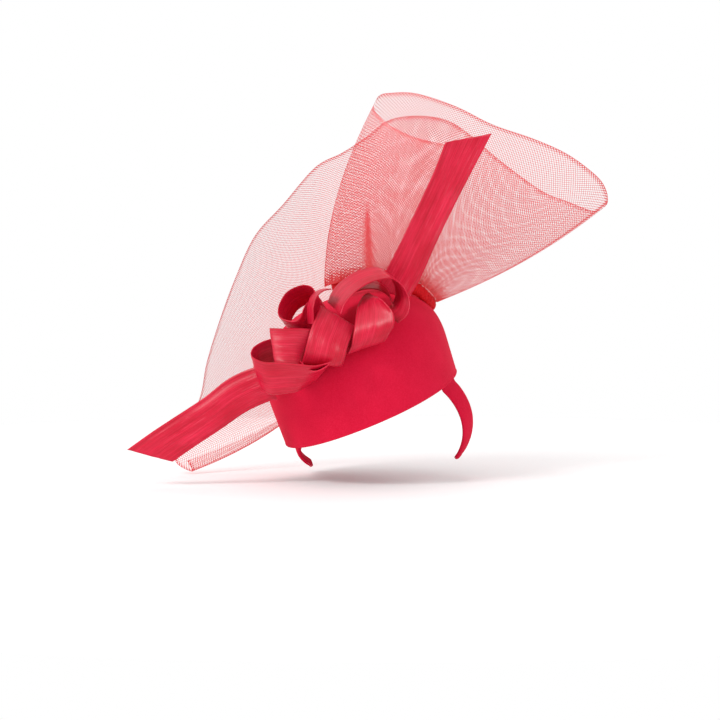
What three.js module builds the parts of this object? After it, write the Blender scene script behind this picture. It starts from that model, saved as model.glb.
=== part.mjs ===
// Fascinator headpiece: a tilted wool-felt crown on a felt-covered headband, trimmed with a sweep of
// wide crin (horsehair braid), a knot of ribbon loops and two ribbon tails.
// Millimetres, +Z up. The wearer looks along -Y and their left is +X. The origin is the middle of the
// head that wears it.
import * as THREE from 'three';

// Crown: an oval felt shell, tilted to the wearer's right.
const CROWN_HALF_WIDTH = 84;
const CROWN_HALF_LENGTH = 98;
const CROWN_HEIGHT = 101;
const CROWN_SHOULDER = 34; // the wall is nearly straight up to here, then turns in to the dome
const CROWN_RIM_INSET = 1; // the wall curves in by this much at the rim
const OVAL_POWER = 2.1; // 2 is an ellipse, more is a squarer oval
const DOME_POWER = 2.4;
const CROWN_CENTRE = [-7.5, 6, 40.5];
const CROWN_TILT = 17.5; // degrees to the wearer's right
const CROWN_NOD = 9; // degrees forward
const RIM_SLANT = 4; // degrees that the rim is cut steeper than the crown's own tilt
const FELT = 2;
const LINING = 0.7;
const LINING_START = 16; // height of the lining's lower edge over the rim
const SEAM_GAP = 0.4; // between pieces that are sewn face to face
const WIRE_RADIUS = 0.7;
const PAD = 1.6; // the knot's felt pad: its thickness, then its reach round and down the dome
const PAD_FROM = -140;
const PAD_TO = -80;
const PAD_TOP = 0.4;
const PAD_BOTTOM = 0.72;
const BINDING = 0.5;
const BINDING_DEPTH = 4;

// Headband: a sprung strip between two layers of felt, worn leaning back.
const BAND_HALF_WIDTH = 73.6;
const BAND_RISE = 92; // from its widest point to its top, along its own plane
const BAND_CENTRE = [-0.2, 16, 18];
const BAND_LEAN = 25; // degrees back from upright
const BAND_EASE = 6.5; // the legs spring out by this much below the crown
const BAND_TWIST = 20; // degrees that each leg's face turns forward
const BAND_TWIST_FULL = 50; // degrees down from the top where it is turned as far as that
const BAND_TOP_WIDTH = 25;
const BAND_TIP_WIDTH = 14;
const BAND_FELT = 1.3;
const BAND_CORE = 0.8;
const LEFT_TIP_ANGLE = -16; // places along the band, in degrees round from its widest point
const LEFT_BEND_ANGLE = 28; // just below where the rim crosses the band, so the leg below can bend
const RIGHT_BEND_ANGLE = 188;
const RIGHT_TIP_ANGLE = 203;
const TACK_ANGLES = { left_band_tack: 43, right_band_tack: 183 };
const BAND_STEP = 3.6; // degrees between the band's sections
const BEND_GAP = 0.3; // half the gap between the band's neighbouring lengths, in degrees

// Trim: laid out in a frame turned to face the wearer's front left, x to the side, y back, z up.
const TRIM_TURN = 8;
const TRIM_LEAN = -5;
const RIBBON_WIDTH = 33;
const RIBBON = 1;
const LOOP_STEPS = 3; // between neighbouring places of a loop
const CRIN = 0.8;
const THREAD_RADIUS = 0.6;

const rad = THREE.MathUtils.degToRad;
const vec = ([x, y, z]) => new THREE.Vector3(x, y, z);

const feltFinish = { color: 0xde1c41, roughness: 0.95, metalness: 0 };
const ribbonFinish = { color: 0xd92a48, roughness: 0.42, metalness: 0 };
const crinFinish = { color: 0xeb8f8e, roughness: 0.5, metalness: 0 };
const liningFinish = { color: 0xa81632, roughness: 0.7, metalness: 0 };
const steelFinish = { color: 0x9a9a9e, roughness: 0.35, metalness: 1 };
const threadFinish = { color: 0xb01030, roughness: 0.7, metalness: 0 };

function piece(parent, name, geometry, finish) {
  const mesh = new THREE.Mesh(geometry, new THREE.MeshStandardMaterial(finish));
  mesh.name = name;
  parent.add(mesh);
}

// ---- crown ----

// The crown is shaped in its own frame, z up from the rim. A round lathe of it becomes the oval, and
// the rim's side slant fades out towards the top.
function crownPoint(angle, radius, height) {
  const power = 2 / OVAL_POWER;
  const across = Math.sign(Math.cos(angle)) * Math.pow(Math.abs(Math.cos(angle)), power);
  const along = Math.sign(Math.sin(angle)) * Math.pow(Math.abs(Math.sin(angle)), power);
  const x = radius * across;
  const y = radius * along * (CROWN_HALF_LENGTH / CROWN_HALF_WIDTH);
  const slant = x * Math.tan(rad(RIM_SLANT)) * (1 - height / CROWN_HEIGHT);
  return new THREE.Vector3(x, y, height + slant);
}

// Radius and height on the crown's outside at a share of the way from its top, 0, to its shoulder, 1.
function domePoint(share, inset) {
  const turn = (share * Math.PI) / 2;
  const radius = CROWN_HALF_WIDTH - inset;
  const rise = CROWN_HEIGHT - inset - CROWN_SHOULDER;
  const r = share === 0 ? 0 : radius * Math.pow(Math.sin(turn), 2 / DOME_POWER);
  const h = CROWN_SHOULDER + rise * Math.pow(Math.max(Math.cos(turn), 0), 2 / DOME_POWER);
  return new THREE.Vector2(r, h);
}

const domeProfile = (inset, steps) =>
  Array.from({ length: steps + 1 }, (_, i) => domePoint(i / steps, inset));

function ovalLathe(profile, segments) {
  const geometry = new THREE.LatheGeometry(profile, segments);
  geometry.rotateX(Math.PI / 2);
  const position = geometry.getAttribute('position');
  for (let i = 0; i < position.count; i++) {
    const [x, y, z] = [position.getX(i), position.getY(i), position.getZ(i)];
    const point = crownPoint(Math.atan2(y, x), Math.hypot(x, y), z);
    position.setXYZ(i, point.x, point.y, point.z);
  }
  return geometry;
}

function crownShell() {
  const rim = CROWN_HALF_WIDTH - CROWN_RIM_INSET;
  return [
    ...domeProfile(FELT, 9),
    new THREE.Vector2(rim - FELT, 0),
    new THREE.Vector2(rim, 0),
    ...domeProfile(0, 9).reverse(),
  ];
}

function crownLining() {
  const outside = FELT + 2 * SEAM_GAP;
  const edge = CROWN_HALF_WIDTH - CROWN_RIM_INSET / 2 - outside;
  return [
    ...domeProfile(outside + LINING, 9),
    new THREE.Vector2(edge - LINING, LINING_START),
    new THREE.Vector2(edge, LINING_START),
    ...domeProfile(outside, 9).reverse(),
  ];
}

// A round wire under the felt's cut edge.
function edgeWire() {
  const middle = CROWN_HALF_WIDTH - CROWN_RIM_INSET - FELT / 2;
  const profile = [];
  for (let i = 0; i <= 6; i++) {
    const turn = (i / 6) * Math.PI * 2;
    profile.push(
      new THREE.Vector2(
        middle + WIRE_RADIUS * Math.cos(turn),
        -SEAM_GAP - WIRE_RADIUS + WIRE_RADIUS * Math.sin(turn),
      ),
    );
  }
  return profile;
}

// A narrow strip folded over the felt's edge and the wire.
function edgeBinding() {
  const outside = CROWN_HALF_WIDTH - CROWN_RIM_INSET + SEAM_GAP;
  const inside = outside - FELT - 2 * SEAM_GAP;
  const low = -2 * SEAM_GAP - 2 * WIRE_RADIUS;
  const high = BINDING_DEPTH;
  return [
    [inside - BINDING, high],
    [inside - BINDING, low - BINDING],
    [outside + BINDING, low - BINDING],
    [outside + BINDING, high],
    [outside, high],
    [outside, low],
    [inside, low],
    [inside, high],
    [inside - BINDING, high],
  ].map(([r, h]) => new THREE.Vector2(r, h));
}

// A felt pad on the front of the dome that the knot is sewn to.
function trimPad() {
  const lift = -(SEAM_GAP + PAD / 2);
  const grid = [];
  for (let i = 0; i <= 8; i++) {
    const angle = rad(THREE.MathUtils.lerp(PAD_FROM, PAD_TO, i / 8));
    const row = [];
    for (let j = 0; j <= 4; j++) {
      const place = domePoint(THREE.MathUtils.lerp(PAD_TOP, PAD_BOTTOM, j / 4), lift);
      row.push(crownPoint(angle, place.x, place.y));
    }
    grid.push(row);
  }
  return sheet(grid, PAD);
}

function makeCrown() {
  const crown = new THREE.Group();
  crown.position.set(...CROWN_CENTRE);
  crown.rotation.set(rad(CROWN_NOD), rad(-CROWN_TILT), 0, 'YXZ');
  piece(crown, 'felt_crown', ovalLathe(crownShell(), 40), feltFinish);
  piece(crown, 'crown_lining', ovalLathe(crownLining(), 40), liningFinish);
  piece(crown, 'edge_wire', ovalLathe(edgeWire(), 40), steelFinish);
  piece(crown, 'edge_binding', ovalLathe(edgeBinding(), 40), ribbonFinish);
  piece(crown, 'trim_pad', trimPad(), feltFinish);
  return crown;
}

// ---- sheets and strips ----

// A closed solid of even thickness on a grid of points, rows along it and columns across it. A ring
// closes on its first row.
function sheet(grid, thickness, ring = false) {
  const rows = grid.length;
  const columns = grid[0].length;
  const at = (i, j) => {
    const row = ring ? (i + rows) % rows : Math.min(Math.max(i, 0), rows - 1);
    return grid[row][Math.min(Math.max(j, 0), columns - 1)];
  };
  const offset = (i, j) => {
    const along = at(i + 1, j).clone().sub(at(i - 1, j));
    const across = at(i, j + 1).clone().sub(at(i, j - 1));
    return along.cross(across).normalize().multiplyScalar(thickness / 2);
  };
  const positions = [];
  for (let i = 0; i < rows; i++) {
    for (let j = columns - 1; j >= 0; j--) positions.push(...at(i, j).clone().add(offset(i, j)));
    for (let j = 0; j < columns; j++) positions.push(...at(i, j).clone().sub(offset(i, j)));
  }
  const count = 2 * columns;
  const index = [];
  const quad = (a, b, c, d) => index.push(a, b, c, a, c, d);
  for (let i = 0; i < (ring ? rows : rows - 1); i++) {
    const next = ((i + 1) % rows) * count;
    for (let j = 0; j < count; j++) {
      const beside = (j + 1) % count;
      quad(i * count + j, i * count + beside, next + beside, next + j);
    }
  }
  if (!ring) {
    const last = (rows - 1) * count;
    for (let j = 0; j < columns - 1; j++) {
      const under = count - 1 - j;
      quad(j, under, under - 1, j + 1);
      quad(last + j, last + j + 1, last + under - 1, last + under);
    }
  }
  const geometry = new THREE.BufferGeometry();
  geometry.setAttribute('position', new THREE.Float32BufferAttribute(positions, 3));
  geometry.setIndex(index);
  return geometry;
}

const smooth = (points, closed = false) => new THREE.CatmullRomCurve3(points.map(vec), closed);

// A ribbon along places that each give its middle and the direction of its width.
function ribbonGrid(places, width, steps, ring) {
  const line = smooth(places.map(([middle]) => middle), ring);
  const lie = smooth(places.map(([, direction]) => direction), ring);
  const grid = [];
  for (let i = 0; i < (ring ? steps : steps + 1); i++) {
    const across = lie.getPoint(i / steps).setLength(width / 2);
    const centre = line.getPoint(i / steps);
    grid.push([centre.clone().sub(across), centre.clone().add(across)]);
  }
  return grid;
}

function tube(points, radius, steps) {
  const section = new THREE.Shape().absarc(0, 0, radius, 0, Math.PI * 2);
  const path = new THREE.CatmullRomCurve3(points);
  return new THREE.ExtrudeGeometry(section, { extrudePath: path, steps, curveSegments: 4 });
}

// A cloth between two edges, bowed out of flat in its middle by vectors given along its length.
function spreadGrid(inner, outer, rows, columns, bows) {
  const [from, to, bow] = [smooth(inner), smooth(outer), smooth(bows)];
  const grid = [];
  for (let i = 0; i <= rows; i++) {
    const [a, b, rise] = [from, to, bow].map((line) => line.getPoint(i / rows));
    const row = [];
    for (let j = 0; j <= columns; j++) {
      const share = j / columns;
      row.push(a.clone().lerp(b, share).addScaledVector(rise, 4 * share * (1 - share)));
    }
    grid.push(row);
  }
  return grid;
}

// ---- headband ----

// The band's middle at a place along it, and the directions of its width and of its outer face.
function bandFrame(angle) {
  const lean = rad(BAND_LEAN);
  const turn = rad(angle);
  const onLeft = (LEFT_BEND_ANGLE - angle) / (LEFT_BEND_ANGLE - LEFT_TIP_ANGLE);
  const onRight = (angle - RIGHT_BEND_ANGLE) / (RIGHT_TIP_ANGLE - RIGHT_BEND_ANGLE);
  const downLeg = THREE.MathUtils.clamp(Math.max(onLeft, onRight), 0, 1);
  const halfWidth = BAND_HALF_WIDTH + BAND_EASE * Math.sin(downLeg * Math.PI) ** 0.7;
  const up = new THREE.Vector3(0, -Math.sin(lean), Math.cos(lean));
  const middle = vec(BAND_CENTRE).addScaledVector(up, BAND_RISE * Math.sin(turn));
  middle.x += halfWidth * Math.cos(turn);
  const along = up.multiplyScalar(BAND_RISE * Math.cos(turn));
  along.x = -BAND_HALF_WIDTH * Math.sin(turn);
  const twist = rad(BAND_TWIST) * THREE.MathUtils.clamp((90 - angle) / BAND_TWIST_FULL, -1, 1);
  const across = new THREE.Vector3(0, Math.cos(lean), Math.sin(lean)).multiplyScalar(Math.cos(twist));
  across.x = Math.sin(twist);
  const outward = across.clone().cross(along).normalize();
  return { middle, across, outward };
}

// One layer of the band between two places on it, lifted off its middle.
function bandLayer(from, to, lift, thickness) {
  const steps = Math.max(4, Math.round(Math.abs(to - from) / BAND_STEP));
  const grid = [];
  for (let i = 0; i <= steps; i++) {
    const angle = from + ((to - from) * i) / steps;
    const fall = Math.pow((angle - 90) / (RIGHT_TIP_ANGLE - 90), 2);
    const width = THREE.MathUtils.lerp(BAND_TOP_WIDTH, BAND_TIP_WIDTH, fall);
    const { middle, across, outward } = bandFrame(angle);
    middle.addScaledVector(outward, lift);
    grid.push([-0.5, 0.5].map((side) => middle.clone().addScaledVector(across, side * width)));
  }
  return sheet(grid, thickness);
}

function addBand(parent, prefix, from, to) {
  const lift = (BAND_CORE + BAND_FELT) / 2 + SEAM_GAP;
  piece(parent, prefix + '_outer_felt', bandLayer(from, to, lift, BAND_FELT), feltFinish);
  piece(parent, prefix + '_core', bandLayer(from, to, 0, BAND_CORE), steelFinish);
  piece(parent, prefix + '_inner_felt', bandLayer(from, to, -lift, BAND_FELT), feltFinish);
}

// A thread bar that holds the band to the crown, laid across the band's inner face.
function bandTack(angle) {
  const { middle, across, outward } = bandFrame(angle);
  middle.addScaledVector(outward, -(BAND_CORE / 2 + BAND_FELT + 2 * SEAM_GAP + THREAD_RADIUS));
  return [-0.6, -0.2, 0.2, 0.6].map((side) =>
    middle.clone().addScaledVector(across, side * BAND_TOP_WIDTH),
  );
}

function makeHeadband() {
  const band = new THREE.Group();
  addBand(band, 'band', LEFT_BEND_ANGLE + BEND_GAP, RIGHT_BEND_ANGLE - BEND_GAP);
  addBand(band, 'left_leg', LEFT_TIP_ANGLE, LEFT_BEND_ANGLE - BEND_GAP);
  addBand(band, 'right_leg', RIGHT_BEND_ANGLE + BEND_GAP, RIGHT_TIP_ANGLE);
  for (const [name, angle] of Object.entries(TACK_ANGLES)) {
    piece(band, name, tube(bandTack(angle), THREAD_RADIUS, 6), threadFinish);
  }
  return band;
}

// ---- trim ----

// Each loop: places along its middle line, each with the direction of the ribbon's width there. A
// ring closes on itself, and the others have both ends sewn in behind their neighbours. A loop with a
// share is folded to that share of the ribbon's width.
const LOOPS = {
  low_loop: {
    ring: true,
    places: [
      [[-46, -111, 65], [0.5, -0.8, -0.2]],
      [[-56, -117, 62], [0.2, -0.85, 0.45]],
      [[-68, -120, 60], [0, -0.75, 0.66]],
      [[-80, -117, 60], [-0.1, -0.65, 0.75]],
      [[-93, -112, 60], [-0.15, -0.6, 0.78]],
      [[-103, -104, 66], [-0.2, -0.6, 0.77]],
      [[-100, -96, 75], [-0.2, -0.6, 0.77]],
      [[-86, -91, 81], [-0.15, -0.62, 0.77]],
      [[-77, -92, 76], [-0.05, -0.7, 0.7]],
      [[-63, -101, 61], [0.2, -0.85, 0.3]],
    ],
  },
  side_loop: {
    ring: true,
    places: [
      [[-61.5, -114, 86], [0.22, 0.3, 0.93]],
      [[-69, -117, 87], [0, 0.4, 0.9]],
      [[-80, -119, 87], [-0.1, 0.45, 0.88]],
      [[-88, -116, 87.5], [-0.15, 0.45, 0.87]],
      [[-87, -111, 88], [-0.15, 0.45, 0.87]],
      [[-77, -110.5, 87.5], [-0.08, 0.45, 0.88]],
      [[-68, -110.5, 87], [0, 0.4, 0.9]],
      [[-62, -111, 86.5], [0.22, 0.3, 0.93]],
    ],
  },
  front_loop: {
    ring: true,
    places: [
      [[-34, -104, 113], [0.85, 0.1, -0.5]],
      [[-37, -117, 104], [0.88, 0, -0.45]],
      [[-41, -126, 92], [0.92, -0.05, -0.35]],
      [[-44, -127, 80], [0.96, -0.1, -0.2]],
      [[-47, -119, 71], [0.99, -0.1, -0.05]],
      [[-46, -112, 74], [0.98, 0, -0.1]],
      [[-43, -108, 85], [0.93, 0.05, -0.3]],
      [[-38, -103, 100], [0.87, 0.1, -0.45]],
    ],
  },
  hollow_loop: {
    ring: true,
    places: [
      [[-66, -98, 102], [-0.25, -0.88, 0.35]],
      [[-76, -94, 104], [-0.25, -0.88, 0.35]],
      [[-80, -90, 109], [-0.25, -0.88, 0.35]],
      [[-79, -86, 118], [-0.25, -0.88, 0.35]],
      [[-73, -81, 128], [-0.25, -0.88, 0.35]],
      [[-61, -78, 134], [-0.25, -0.88, 0.35]],
      [[-52, -80, 132], [-0.25, -0.88, 0.35]],
      [[-50, -84, 125], [-0.25, -0.88, 0.35]],
      [[-57.5, -91, 115], [-0.25, -0.88, 0.35]],
      [[-61, -97, 105], [-0.25, -0.88, 0.35]],
    ],
  },
  narrow_loop: {
    share: 0.5,
    places: [
      [[-57, -109, 106], [0.35, -0.92, -0.1]],
      [[-57, -114, 113], [0.35, -0.92, -0.1]],
      [[-57, -115, 120], [0.35, -0.92, -0.1]],
      [[-54.5, -112, 128], [0.35, -0.92, -0.1]],
      [[-49, -105, 134], [0.35, -0.92, -0.1]],
      [[-42, -103, 136], [0.35, -0.92, -0.1]],
    ],
  },
  arch_loop: {
    places: [
      [[-37, -101, 120], [0.35, -0.86, -0.36]],
      [[-33.5, -99, 129], [0.35, -0.86, -0.36]],
      [[-26, -96, 138], [0.35, -0.86, -0.36]],
      [[-15, -92, 146], [0.35, -0.86, -0.36]],
      [[-4, -90, 150], [0.35, -0.86, -0.36]],
      [[6, -88, 151], [0.35, -0.86, -0.36]],
      [[14, -87, 146], [0.35, -0.86, -0.36]],
      [[19.5, -87, 137], [0.35, -0.86, -0.36]],
      [[21, -89, 128], [0.35, -0.86, -0.36]],
      [[18, -92, 119], [0.35, -0.86, -0.36]],
      [[11, -94, 113], [0.35, -0.86, -0.36]],
    ],
  },
  inner_loop: {
    places: [
      [[-4, -97, 131], [0.25, -0.93, -0.2]],
      [[-4, -104, 127], [0.55, -0.8, -0.2]],
      [[-2.5, -114, 116], [0.9, -0.4, -0.1]],
      [[-3, -121, 104], [0.98, -0.1, 0.1]],
      [[-6, -120, 93], [0.95, 0, 0.3]],
      [[-10, -112, 86], [0.94, 0, 0.33]],
      [[-9, -104, 90], [0.94, 0, 0.33]],
      [[-6, -100, 98], [0.95, 0, 0.3]],
    ],
  },
  back_loop: {
    share: 0.65,
    places: [
      [[-34, -85, 124], [0.1, -0.9, -0.4]],
      [[-28, -80, 134], [0.1, -0.9, -0.4]],
      [[-16, -75, 141], [0.1, -0.9, -0.4]],
      [[-2, -73, 142], [0.1, -0.9, -0.4]],
      [[8, -74, 136], [0.1, -0.9, -0.4]],
      [[12, -78, 127], [0.1, -0.9, -0.4]],
    ],
  },
};

function addLoops(trim) {
  for (const [name, { places, ring = false, share = 1 }] of Object.entries(LOOPS)) {
    const grid = ribbonGrid(places, share * RIBBON_WIDTH, LOOP_STEPS * places.length, ring);
    piece(trim, name, sheet(grid, RIBBON, ring), ribbonFinish);
  }
}

// The two edges of each tail, from the knot to its slanted cut end.
const TAILS = {
  upper_tail: [
    [
      [-3, -58, 140],
      [9, -64, 159],
      [21, -69, 182],
      [35, -74, 211],
      [50, -80, 243],
      [58, -86, 264],
    ],
    [
      [26, -61, 131],
      [37, -64, 150],
      [50, -70, 179],
      [64, -75, 208],
      [79, -81, 237],
      [97, -88, 271],
    ],
  ],
  lower_tail: [
    [
      [-97, -80, 69],
      [-107, -80, 70],
      [-129, -78, 60],
      [-151, -77, 43],
      [-190, -72, 18],
      [-216, -68, 0],
    ],
    [
      [-86, -82, 43],
      [-93, -82, 42],
      [-113, -79, 33],
      [-135, -77, 18],
      [-158, -72, 3],
      [-177, -68, -10],
    ],
  ],
};

const FLAT = [
  [0, 0, 0],
  [0, 0, 0],
];

function addTails(trim) {
  for (const [name, [oneEdge, otherEdge]] of Object.entries(TAILS)) {
    const grid = spreadGrid(oneEdge, otherEdge, 12, 1, FLAT);
    piece(trim, name, sheet(grid, RIBBON), ribbonFinish);
  }
}

// The crin is one strip. Its inner edge is gathered on the crown and its outer edge is free. It is
// laid out here as the lengths between its folds.
const CRIN_LENGTHS = {
  crin_tail: {
    inner: [
      [-66, 92, 46],
      [-63, 94, 51],
      [-60, 96, 56],
    ],
    outer: [
      [-171, 38, -19],
      [-186, 42, -11],
      [-184, 48, 8],
    ],
    bow: [
      [4, 8, -4],
      [0, 10, 0],
    ],
  },
  crin_sweep: {
    inner: [
      [-60, 96, 57],
      [-46, 100, 84],
      [-36, 98, 104],
      [-26, 90, 122],
      [-16, 76, 138],
      [-6, 62, 149],
      [6, 50, 153],
      [18, 41, 153],
      [33, 33, 151],
      [44, 22, 145],
      [53, 8, 135],
    ],
    outer: [
      [-183, 49, 9],
      [-164, 62, 68],
      [-146, 76, 134],
      [-118, 84, 203],
      [-60, 80, 269],
      [-11, 68, 296],
      [24, 62, 314],
      [64, 62, 311],
      [115, 56, 271],
      [164, 44, 236],
      [203, 14, 220],
    ],
    bow: [
      [-4, 14, 2],
      [-6, 16, 6],
      [0, 14, 0],
      [4, 4, -6],
    ],
  },
  crin_front: {
    inner: [
      [54, 4, 134],
      [46, -11, 143],
      [34, -19, 150],
      [14, -24, 151],
      [-12, -28, 153],
      [-46, -33, 144],
    ],
    outer: [
      [205, 8, 221],
      [200, -8, 242],
      [169, -24, 264],
      [102, -34, 289],
      [34, -38, 316],
      [-3, -47, 307],
    ],
    bow: [
      [4, -2, -6],
      [0, -16, 2],
      [-10, -8, -3],
    ],
  },
  crin_fold: {
    inner: [
      [-46, -36, 143],
      [-26, -44, 150],
      [-6, -48, 150],
      [12, -50, 147],
    ],
    outer: [
      [-3, -52, 304],
      [2, -63, 290],
      [30, -72, 272],
      [66, -77, 262],
    ],
    bow: [
      [-10, -9, -3],
      [0, -8, 0],
    ],
  },
};

function addCrin(trim) {
  for (const [name, { inner, outer, bow }] of Object.entries(CRIN_LENGTHS)) {
    piece(trim, name, sheet(spreadGrid(inner, outer, 16, 4, bow), CRIN), crinFinish);
  }
}

// A roll of thread and cut edges along the crin's gathered edge, on top of the crown.
const GATHER = [
  [-16, 74, 133],
  [0, 55, 146],
  [18, 40, 148],
  [34, 30, 143],
  [46, 16, 136],
  [49, 5, 131],
  [42, -9, 138],
  [32, -18, 144],
  [12, -24, 146],
  [-12, -29, 148],
  [-40, -34, 141],
];
const GATHER_RADIUS = 2.4;

function makeTrim() {
  const trim = new THREE.Group();
  trim.rotation.set(rad(TRIM_LEAN), 0, rad(TRIM_TURN), 'ZYX');
  addLoops(trim);
  addTails(trim);
  addCrin(trim);
  piece(trim, 'crin_gather', tube(GATHER.map(vec), GATHER_RADIUS, 40), crinFinish);
  return trim;
}

const fascinator = new THREE.Group();
fascinator.add(makeCrown(), makeHeadband(), makeTrim());

export default fascinator;
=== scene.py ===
"""Looks of the fascinator headpiece: felt crown and headband, ribbon knot and tails, see-through crin.

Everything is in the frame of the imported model: +Z up, the wearer looks along -Y. Shapes are written
in millimetres, as hat makers measure, and MM turns them into metres.
"""

import math

import bpy
import numpy as np
from mathutils import Matrix, Vector, noise


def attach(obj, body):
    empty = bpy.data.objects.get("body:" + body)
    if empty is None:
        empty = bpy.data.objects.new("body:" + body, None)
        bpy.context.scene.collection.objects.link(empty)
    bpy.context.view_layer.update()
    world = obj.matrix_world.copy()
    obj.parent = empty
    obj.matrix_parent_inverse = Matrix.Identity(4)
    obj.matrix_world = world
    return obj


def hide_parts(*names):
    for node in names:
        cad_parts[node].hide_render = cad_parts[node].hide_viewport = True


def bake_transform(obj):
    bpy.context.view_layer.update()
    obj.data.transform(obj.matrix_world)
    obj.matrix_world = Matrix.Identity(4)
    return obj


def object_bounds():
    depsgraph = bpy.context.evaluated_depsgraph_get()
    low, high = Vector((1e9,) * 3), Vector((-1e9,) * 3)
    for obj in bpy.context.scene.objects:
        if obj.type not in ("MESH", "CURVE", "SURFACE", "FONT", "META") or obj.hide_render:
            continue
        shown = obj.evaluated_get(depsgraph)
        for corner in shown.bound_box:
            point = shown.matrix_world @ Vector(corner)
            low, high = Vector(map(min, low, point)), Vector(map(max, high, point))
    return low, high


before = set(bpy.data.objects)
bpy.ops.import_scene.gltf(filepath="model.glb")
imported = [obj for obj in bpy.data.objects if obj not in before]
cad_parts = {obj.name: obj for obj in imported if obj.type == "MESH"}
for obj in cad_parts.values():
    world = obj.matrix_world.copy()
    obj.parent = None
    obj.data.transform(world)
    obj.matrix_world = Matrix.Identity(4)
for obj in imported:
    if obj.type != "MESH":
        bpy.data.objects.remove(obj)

MM = 0.001
CAD_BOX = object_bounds()
ROOT = "crown_and_trim"

# Lengths are in millimetres and angles in degrees, except under "View", which is in metres.

# Crown, in its own frame, z up from the rim.
CROWN_HALF_WIDTH = 84
CROWN_HALF_LENGTH = 98
CROWN_HEIGHT = 101
CROWN_SHOULDER = 34
CROWN_RIM_INSET = 1
OVAL_POWER = 2.1
DOME_POWER = 2.4
RIM_SLANT = 4
CROWN_CENTRE = (-7.5, 6, 40.5)
CROWN_TILT = 17.5
CROWN_NOD = 9
FELT = 2
LINING = 0.7
LINING_GAP = 0.8
LINING_START = 16
ROLL_RADIUS = 1.2  # of the binding rolled over the rim
ROLL_DROP = 1.0
PAD = 1.6
PAD_GAP = 0.4
PAD_SIDES = (-140, -80)  # round the crown, from the wearer's left
PAD_REACH = (0.4, 0.72)  # down the dome, from its top at 0 to its shoulder at 1

# Headband.
BAND_HALF_WIDTH = 73.6
BAND_RISE = 92
BAND_CENTRE = (-0.2, 16, 18)
BAND_LEAN = 25
BAND_EASE = 6.5
BAND_TWIST = 20
BAND_TWIST_FULL = 50
BAND_TOP_WIDTH = 25
BAND_TIP_WIDTH = 14
BAND_THICKNESS = 4.3
BAND_OVERHANG = 2.4  # degrees that the felt reaches past each end of the spring
BAND_ROUNDING = 3.2  # degrees of the band in which its end closes
BAND_SPARE = 0.8  # width of the felt past the edges of the spring's covers
LEFT_TIP, LEFT_BEND, BAND_JOIN, RIGHT_BEND, RIGHT_TIP = -16, 28, 113, 188, 203

# Trim.
TRIM_TURN = 8
TRIM_LEAN = -5
RIBBON_WIDTH = 33
RIBBON = 0.9
CRIN_WIDTH = 178
CRIN_PITCH = 2.0  # between neighbouring threads
CRIN_THREAD = 0.36

# View.
VIEW_AZIMUTH = 8
VIEW_ELEVATION = 5
VIEW_DISTANCE = 1.6
AIM_ACROSS = -0.0162
AIM_UP = 0.0811
LENS = 88.8

# Studio.
WORLD_LIGHT = 0.85
FLOOR_RADIUS = 0.8
FLOOR_DROP = 0.003  # below the lowest point of the model


# ---- mesh helpers ----


def rotation(axis, degrees):
    return np.array(Matrix.Rotation(math.radians(degrees), 3, axis))


CROWN_TURN = rotation("Y", -CROWN_TILT) @ rotation("X", CROWN_NOD)
TRIM_PLACE = rotation("Z", TRIM_TURN) @ rotation("X", TRIM_LEAN)


def trim_place(points):
    """Points of the trim's frame, x to the side, y back and z up, turned into the model's frame."""
    return np.asarray(points, float) @ TRIM_PLACE.T


def spline(points, count, closed=False):
    """A smooth curve through the points, as count places evenly spread over them."""
    points = np.asarray(points, float)
    total = len(points)
    spans = total if closed else total - 1
    places = np.arange(count) * spans / (count if closed else count - 1)
    which = np.minimum(places.astype(int), spans - 1)
    t = (places - which)[:, None]

    def at(shift):
        index = which + shift
        if closed:
            return points[index % total]
        inside = points[np.clip(index, 0, total - 1)]
        before = (index < 0)[:, None]
        after = (index >= total)[:, None]
        inside = np.where(before, 2 * points[0] - points[1], inside)
        return np.where(after, 2 * points[-1] - points[-2], inside)

    a, b, c, d = at(-1), at(0), at(1), at(2)
    return b + 0.5 * t * (c - a + t * (2 * a - 5 * b + 4 * c - d + t * (3 * (b - c) + d - a)))


def unit(vectors):
    length = np.linalg.norm(vectors, axis=-1, keepdims=True)
    return vectors / np.maximum(length, 1e-9)


def grid_normals(grid, ring=False):
    if ring:
        along = np.roll(grid, -1, 0) - np.roll(grid, 1, 0)
    else:
        along = np.gradient(grid, axis=0)
    return unit(np.cross(along, np.gradient(grid, axis=1)))


def wobble(grid, size, reach, seed):
    """Smooth unevenness for each point of a grid, up to about reach, with bumps of about size."""
    flat = grid.reshape(-1, 3) / size + seed * 17.3
    values = [noise.noise(Vector(p)) for p in flat]
    return reach * np.array(values).reshape(grid.shape[:-1])


def add_mesh(name, points, faces, uvs=None, **attributes):
    """A smooth-shaded mesh from points in millimetres. uvs are metres of cloth for each point."""
    mesh = bpy.data.meshes.new(name)
    mesh.from_pydata((np.asarray(points) * MM).tolist(), [], faces)
    mesh.update()
    mesh.shade_smooth()
    if uvs is not None:
        layer = mesh.uv_layers.new(name="cloth")
        corners = np.zeros(len(mesh.loops), np.int32)
        mesh.loops.foreach_get("vertex_index", corners)
        layer.data.foreach_set("uv", (np.asarray(uvs) * MM)[corners].astype(np.float32).ravel())
    for key, values in attributes.items():
        attribute = mesh.attributes.new(key, "FLOAT", "POINT")
        attribute.data.foreach_set("value", np.asarray(values, np.float32))
    piece = bpy.data.objects.new(name, mesh)
    bpy.context.scene.collection.objects.link(piece)
    return piece


def grid_faces(rows, columns, ring=False, wrap=False):
    """Quads over a grid of points. ring joins the last row to the first, wrap the last column."""
    faces = []
    for i in range(rows if ring else rows - 1):
        for j in range(columns if wrap else columns - 1):
            below, beside = (i + 1) % rows, (j + 1) % columns
            faces.append((i * columns + j, i * columns + beside,
                          below * columns + beside, below * columns + j))
    return faces


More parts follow.
